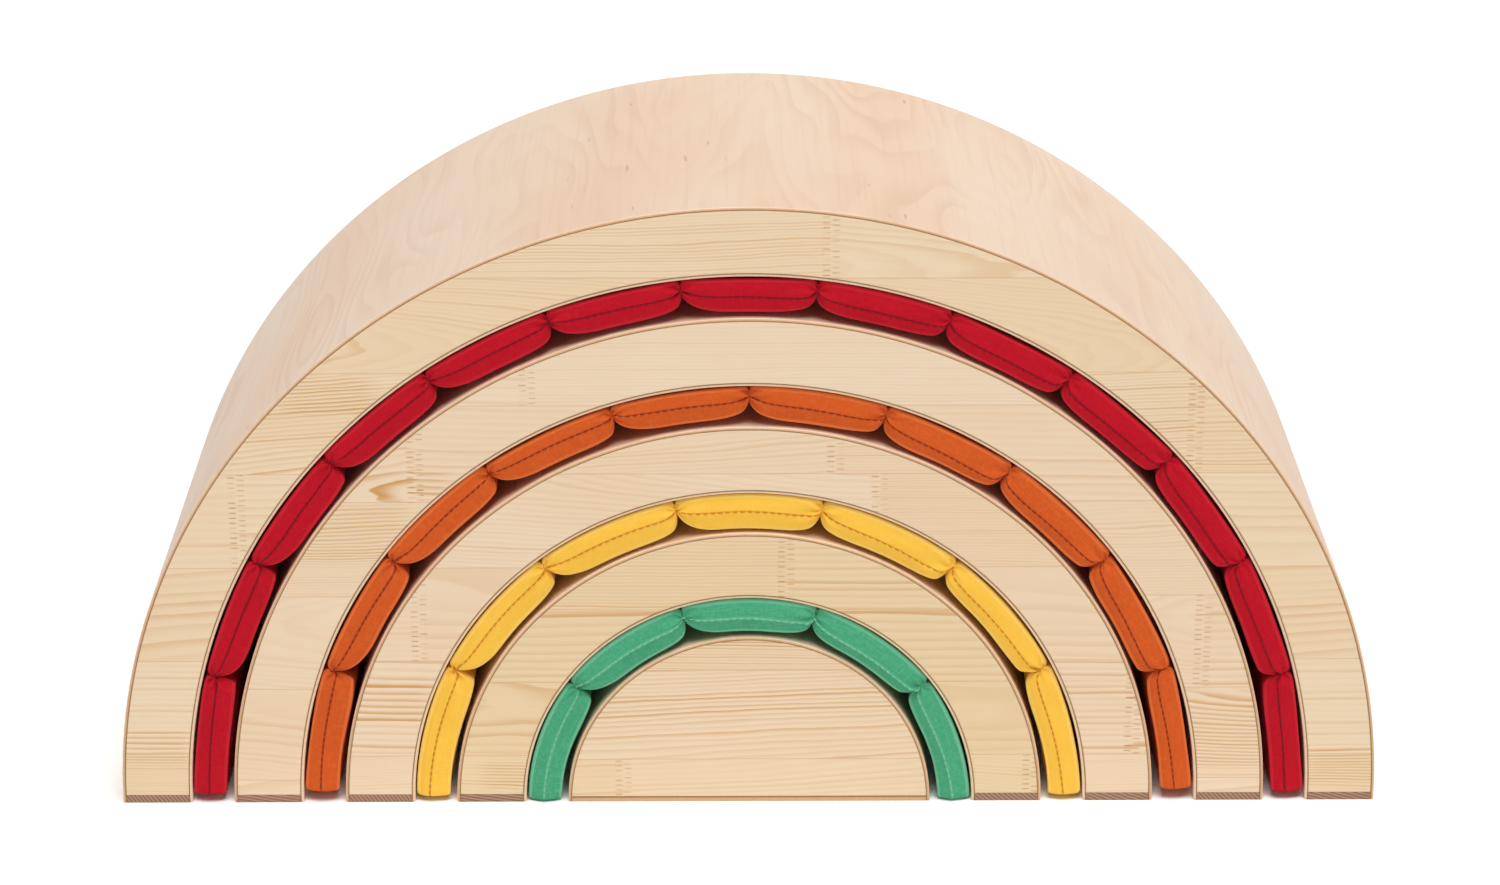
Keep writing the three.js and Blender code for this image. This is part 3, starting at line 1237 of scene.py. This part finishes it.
    def pleats(self, rng: np.random.Generator, rows: Rows, drop: Array) -> Array:
        """Return how far the sewn sides stand out in pleats.

        Pleats are waves in the angle about a seam's end that die away with the distance from it. They are
        strong at the square right end of a channel and weaker at its left end.

        Args:
            rng: The mat's own random numbers.
            rows: The mat's rows.
            drop: Depth of every point below the middle of the neck.

        Returns:
            The height of every point's pleat.
        """
        total = np.zeros_like(drop)
        for distance, height in ((rows.before, 0.0030), (rows.after, 0.0022)):
            phase = rng.uniform(0.0, 2 * np.pi, self.channels)[rows.number][:, None]
            waves = rng.uniform(4.0, 6.5, self.channels)[rows.number][:, None]
            reach = rng.uniform(0.007, 0.012, self.channels)[rows.number][:, None]
            far = np.hypot(distance[:, None], drop)
            turn = np.arctan2(drop, distance[:, None])
            fade = np.exp(-far / reach) * np.minimum(1.0, far / 0.0025)
            total += height * np.cos(waves * turn + phase) * fade
        return total

    def puckers(self, rng: np.random.Generator, rows: Rows, y: Array) -> Array:
        """Return the gathers across the outer and inner faces, waves along Y that die away from each seam.

        Args:
            rng: The mat's own random numbers.
            rows: The mat's rows.
            y: Place of every point across the mat.

        Returns:
            The height of every point's gather.
        """
        phase = rng.uniform(0.0, 2 * np.pi, (3, self.channels))[:, rows.number][..., None]
        lengths = np.array([0.0031, 0.0047, 0.0083])[:, None, None]
        wave = (np.sin(y / lengths + phase) * np.array([0.5, 0.8, 0.7])[:, None, None]).sum(axis=0)
        fade = np.exp(-rows.near / 0.012) * np.minimum(1.0, rows.near / 0.003)
        return 0.0005 * fade[:, None] * wave

    def swell(self, start: Array, held: NDArray[np.bool_]) -> Array:
        """Simulate a cage as cloth under the pressure of its filling.

        Args:
            start: The cage's points by row and column.
            held: Which of them are sewn down.

        Returns:
            How far each point moves.
        """
        cage = Surface(start).build(f"{self.name}_cage", None)
        group = cage.vertex_groups.new(name="sewn")
        group.add(np.flatnonzero(held).tolist(), 1.0, "REPLACE")
        cloth = cage.modifiers.new("swell", "CLOTH")
        sheet = cloth.settings
        sheet.quality = 6
        sheet.mass = 0.2
        sheet.tension_stiffness = sheet.compression_stiffness = 12.0
        sheet.shear_stiffness = 4.0
        sheet.bending_stiffness = 0.4
        sheet.shrink_min = -0.012
        sheet.use_pressure = True
        sheet.uniform_pressure_force = 4.0
        sheet.effector_weights.gravity = 0.0
        sheet.vertex_group_mass = "sewn"
        cloth.collision_settings.use_collision = False
        cloth.point_cache.frame_start, cloth.point_cache.frame_end = 1, self.swell_frames
        scene = bpy.context.scene
        for step in range(1, self.swell_frames + 1):
            scene.frame_set(step)
        shaped = cage.evaluated_get(bpy.context.evaluated_depsgraph_get()).data
        moved = np.empty(start.size, dtype=np.float32)
        shaped.vertices.foreach_get("co", moved)
        scene.frame_set(1)
        mesh = cage.data
        bpy.data.objects.remove(cage)
        bpy.data.meshes.remove(mesh)
        return moved.reshape(start.shape).astype(float) - start

    def relax(self, surface: Surface, near: Array) -> None:
        """Let the cover swell, held along its seams and corners, and keep the result.

        A cage of every second row and column is simulated. Its moves are capped, evened out along the mat,
        spread to the rows and columns between, and kept clear of the two skins.

        Args:
            surface: The surface to swell, changed in place.
            near: Each row's distance to a seam.
        """
        start = surface.points[::2, ::2]
        held = np.zeros(start.shape[:2], dtype=bool)
        held[near[::2] < 0.0004] = True
        held[[0, -1]] = True
        held[:, self.seam_columns() // 2] = True
        held[:, self.section()["corner"][::2] > 0.0] = True
        move = self.swell(start, held)
        size = np.linalg.norm(move, axis=-1, keepdims=True)
        LOG.info("%s swells by up to %.2f mm", self.name, 1000 * size.max())
        move *= np.minimum(1.0, self.swell_cap / np.maximum(size, 1e-9))
        for _ in range(3):
            move[1:-1] = (move[:-2] + 2.0 * move[1:-1] + move[2:]) / 4.0
        wide = np.empty((len(move), surface.points.shape[1], 3))
        wide[:, ::2], wide[:, 1::2] = move, (move + np.roll(move, -1, axis=1)) / 2
        full = np.empty_like(surface.points)
        full[::2], full[1::2] = wide, (wide[:-1] + wide[1:]) / 2
        points = surface.points + full
        radius = np.hypot(points[..., 0], points[..., 2])
        scale = np.clip(radius, self.clear + 0.0012, self.lined - 0.0004) / radius
        points[..., 0] *= scale
        points[..., 1] = np.clip(points[..., 1], -self.full_width, self.full_width)
        points[..., 2] = np.maximum(points[..., 2] * scale, 0.0006)
        surface.points = points

    def stitches(self, points: Array) -> bpy.types.Object:
        """Sew along both edge seams, and along each channel seam on the outer and the inner face.

        Args:
            points: The cover's points by row and column.

        Returns:
            One object with all of the mat's stitches.
        """
        row, cut, sewn = SewnRow(), self.section(), []
        for column, side in zip(self.seam_columns(), (1.0, -1.0)):
            out = np.zeros_like(points[:, column]) + (0.0, side, 0.0)
            sewn.append(row.capsules(points[:, column] + 0.0002 * out, out))
        for sign in (1.0, -1.0):
            columns = np.flatnonzero((cut["off_y"] == 0.0) & (cut["off_d"] == sign))
            for index in np.arange(1, self.channels) * 2 * self.half_rows:
                path = points[index, columns]
                out = -sign * unit(path * (1.0, 0.0, 1.0))
                sewn.append(row.capsules(path + 0.0003 * out, out))
        capsules = np.concatenate(sewn)
        piece = place_mesh(f"{self.name}_stitches", capsules, row.faces(len(capsules)))
        piece.data.materials.append(self.thread.material())
        return piece

    def build(self) -> None:
        """Build the padded cover and its stitches, and dress them."""
        surface, near = self.surface()
        self.relax(surface, near)
        cover = surface.build(f"{self.name}_cover", self.cloth.material())
        smooth = cover.modifiers.new("Smooth", "SUBSURF")
        smooth.levels = smooth.render_levels = 1
        slot = self.name.replace("_mat", "_canvas")
        settle(cover, self.name, slot, self.name)
        settle(self.stitches(surface.points), self.name, slot)


@dataclass(frozen=True)
class Lamp:
    """A far, wide lamp: its direction from the nest, its watts per square metre and its spread in degrees."""

    name: str
    towards: Colour
    strength: float
    spread: float

    def hang(self) -> None:
        """Add the lamp, without a glint where it shines from behind."""
        light = bpy.data.lights.new(self.name, "SUN")
        light.energy = self.strength
        light.angle = np.radians(self.spread)
        lamp = bpy.data.objects.new(self.name, light)
        x, y, z = self.towards
        lamp.visible_glossy = y < 0.0
        lamp.rotation_euler = (np.arctan2(np.hypot(x, y), z), 0.0, np.arctan2(y, x) + np.pi / 2)
        bpy.context.scene.collection.objects.link(lamp)


@dataclass
class Studio:
    """Floor, soft lights, white surround and the camera."""

    lens: float = 91.2
    sensor: float = 36.0
    place: Colour = (-0.0138, -2.6005, 1.2635)
    pitch: float = 21.98
    yaw: float = 0.34
    floor_reach: float = 20.0
    floor_tone: float = 0.90
    floor_lift: float = 0.24
    faint: float = 0.08
    lamps: tuple[Lamp, ...] = (
        Lamp("key", (0.06, -0.28, 0.955), 2.25, 36.0),
        Lamp("right", (0.85, -0.25, 0.45), 0.50, 50.0),
        Lamp("left", (-0.85, -0.30, 0.42), 0.30, 50.0),
        Lamp("front", (0.0, -0.9993, 0.037), 0.74, 8.0),
        Lamp("back", (0.10, 0.99, 0.08), 0.80, 50.0),
    )

    def build(self) -> None:
        """Set up everything that isn't part of the object."""
        scene = bpy.context.scene
        scene.view_settings.view_transform = "Standard"
        self._floor()
        self._surround(scene)
        for lamp in self.lamps:
            lamp.hang()
        lens = bpy.data.cameras.new("camera")
        lens.sensor_width = self.sensor
        lens.lens = self.lens
        lens.clip_end = 200.0
        camera = bpy.data.objects.new("camera", lens)
        camera.location = self.place
        camera.rotation_euler = (np.radians(90.0 - self.pitch), 0.0, np.radians(-self.yaw))
        scene.collection.objects.link(camera)
        scene.camera = camera

    def _floor(self) -> None:
        """Lay a wide pale floor, a little uneven in tone, and white to the camera where no shadow falls."""
        g = Graph("floor_paper")
        x, y, z = g.objects()
        tone = g.mad(g.noise(x, y, z, (1.5, 1.5, 1.5)), 0.02, self.floor_tone)
        shade = g.mad(g.node("LightPath", {}, "Is Camera Ray"), self.floor_lift, tone)
        paper = g.finish(Base_Color=g.join(shade, shade, shade), Roughness=0.9, Specular_IOR_Level=0.1)
        reach = np.linspace(-self.floor_reach, self.floor_reach, 9)
        points = np.stack([*np.meshgrid(reach, reach, indexing="ij"), np.zeros((9, 9))], axis=-1)
        index = np.arange(81).reshape(9, 9)
        faces = np.stack([index[:-1, :-1], index[1:, :-1], index[1:, 1:], index[:-1, 1:]], axis=-1)
        floor = place_mesh("floor", points, faces.reshape(-1, 4).tolist())
        floor.data.materials.append(paper)

    def _surround(self, scene: bpy.types.Scene) -> None:
        """Light the scene faintly from all round, and show plain white to the camera and in reflections.

        Args:
            scene: The scene that gets the surround.
        """
        world = bpy.data.worlds.new("surround")
        world.use_nodes = True
        scene.world = world
        tree = world.node_tree
        back = tree.nodes["Background"]
        path = tree.nodes.new("ShaderNodeLightPath")
        seen = path.outputs["Is Camera Ray"]
        for name in ("Is Glossy Ray", "Is Transmission Ray"):
            either = tree.nodes.new("ShaderNodeMath")
            either.operation = "MAXIMUM"
            tree.links.new(seen, either.inputs[0])
            tree.links.new(path.outputs[name], either.inputs[1])
            seen = either.outputs[0]
        level = tree.nodes.new("ShaderNodeMapRange")
        level.inputs["To Min"].default_value = self.faint
        level.inputs["To Max"].default_value = 1.0
        tree.links.new(seen, level.inputs["Value"])
        tree.links.new(level.outputs["Result"], back.inputs["Strength"])
        back.inputs["Color"].default_value = (1.0, 1.0, 1.0, 1.0)


def boards(name: str, seed: float, front: PineFinish) -> dict[Side, PineFinish]:
    """Return a piece's front board as given and a back board with staves and joints of its own.

    Args:
        name: The piece's name.
        seed: A number that sets the back board's staves.
        front: The front board.

    Returns:
        A finish for each side.
    """
    rng = np.random.default_rng(int(seed))
    lines = tuple(float(line) for line in 0.02 + 0.02 * rng.random() + 0.070 * np.arange(6))
    ends = (BELOW_NEST, *lines, ABOVE_NEST)
    joints = tuple(
        FingerJoint(float(rng.uniform(-0.40, 0.40)), low + 0.0004, high - 0.0004)
        for low, high in zip(ends, ends[1:])
    )
    return {Side.FRONT: front, Side.BACK: PineFinish(f"{name}_back", seed + 0.5, lines, joints)}


def make_arches() -> list[Arch]:
    """Set out the four arches, each with the staves, joints and heavy grain of its own front board.

    Returns:
        The arches from the largest in.
    """
    lines = {
        "outer_arch": (0.037, 0.112, 0.184, 0.255, 0.330, 0.399),
        "second_arch": (0.018, 0.090, 0.162, 0.234, 0.306),
        "third_arch": (0.037, 0.112, 0.184, 0.255),
        "inner_arch": (0.037, 0.095, 0.150),
    }
    joints = {
        "outer_arch": ((0.056, 0.399, ABOVE_NEST), (-0.357, 0.184, 0.255), (0.309, 0.255, 0.330)),
        "second_arch": ((-0.153, 0.306, 0.40), (-0.232, 0.234, 0.306), (0.321, 0.090, 0.162)),
        "third_arch": (
            (-0.233, 0.112, 0.184), (0.060, 0.255, 0.30), (0.091, 0.184, 0.255), (0.274, 0.037, 0.112),
        ),
        "inner_arch": ((0.026, 0.150, 0.22), (0.202, BELOW_NEST, 0.037)),
    }
    heavy = {
        "outer_arch": (
            (-0.46, -0.39, 0.030, 0.060), (-0.33, -0.25, 0.298, 0.330), (0.39, 0.46, 0.012, 0.044),
        ),
        "second_arch": (
            (-0.31, -0.20, 0.234, 0.260), (-0.35, -0.23, 0.186, 0.234), (0.30, 0.38, 0.024, 0.088),
        ),
        "third_arch": ((-0.30, -0.22, 0.060, 0.100),),
        "inner_arch": ((-0.20, -0.14, 0.008, 0.034),),
    }
    tones = {"outer_arch": srgb(238, 216, 183), "inner_arch": srgb(233, 210, 171)}
    made = []
    for index, name in enumerate(lines):
        outer = float(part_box(f"{name}_outer_skin")[1][0])
        meets = tuple(FingerJoint(*joint) for joint in joints[name])
        dark = tuple(HeavyGrain(*place) for place in heavy[name])
        early = tones.get(name, PineFinish.early)
        front = PineFinish(f"{name}_front", 11.3 + 5.0 * index, lines[name], meets, dark, early)
        made.append(Arch(name, outer, boards(name, 60 + index, front), 2.0 + index))
    return made


def make_half_disc() -> HalfDisc:
    """Set out the half disc with the staves of its own boards.

    Returns:
        The half disc.
    """
    joints = (FingerJoint(-0.090, BELOW_NEST, 0.034),)
    front = PineFinish("half_disc_front", 37.9, (0.034, 0.104), joints)
    outer = float(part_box("half_disc_rim")[1][0])
    return HalfDisc("half_disc", outer, boards("half_disc", 70, front), 7.0)


def make_mats(arches: list[Arch], core: HalfDisc) -> list[Mat]:
    """Set out the mat that lines each arch, in its own colour.

    Args:
        arches: The arches from the largest in.
        core: The half disc inside them.

    Returns:
        The mats in the same order.
    """
    # Each row: name, channels, floor gap, seam ridge, dye, darker dye and paler tone.
    # The darker dye doubles as painted shade, and the paler tone as painted highlight.
    dyes = (
        ("red", 13, 0.006, 0.0, srgb(194, 18, 37), srgb(112, 8, 20), srgb(214, 44, 56)),
        ("orange", 10, 0.008, 0.0, srgb(215, 91, 35), srgb(144, 50, 18), srgb(240, 128, 68)),
        ("yellow", 7, 0.004, 0.0, srgb(255, 200, 72), srgb(220, 148, 40), srgb(255, 220, 120)),
        ("green", 5, 0.001, 0.0012, srgb(73, 166, 124), srgb(38, 124, 84), srgb(132, 208, 168)),
    )
    inside = [arch.outer for arch in arches[1:]] + [core.outer]
    made = []
    for index, (arch, clear, dyed) in enumerate(zip(arches, inside, dyes)):
        name, channels, gap, ridge, colour, deep_dye_and_shade, worn = dyed
        cloth = CanvasFinish(name, colour, deep_dye_and_shade, worn)
        # A mat with a seam ridge gets thread in the paler tone, which with the ridge's painted highlight
        # makes a light seam line.
        thread = ThreadFinish(name, worn if ridge else deep_dye_and_shade)
        made.append(Mat(f"{name}_mat", arch.inner, clear, channels, gap, cloth, thread, 100 + index, ridge))
    return made


def main() -> None:
    """Build the studio, the woodwork and the mats in order."""
    logging.basicConfig(level=logging.INFO, format="%(name)s: %(message)s")
    Studio().build()
    arches, core = make_arches(), make_half_disc()
    for piece in (*arches, core, *make_mats(arches, core)):
        piece.build()


if __name__ == "__main__":
    main()
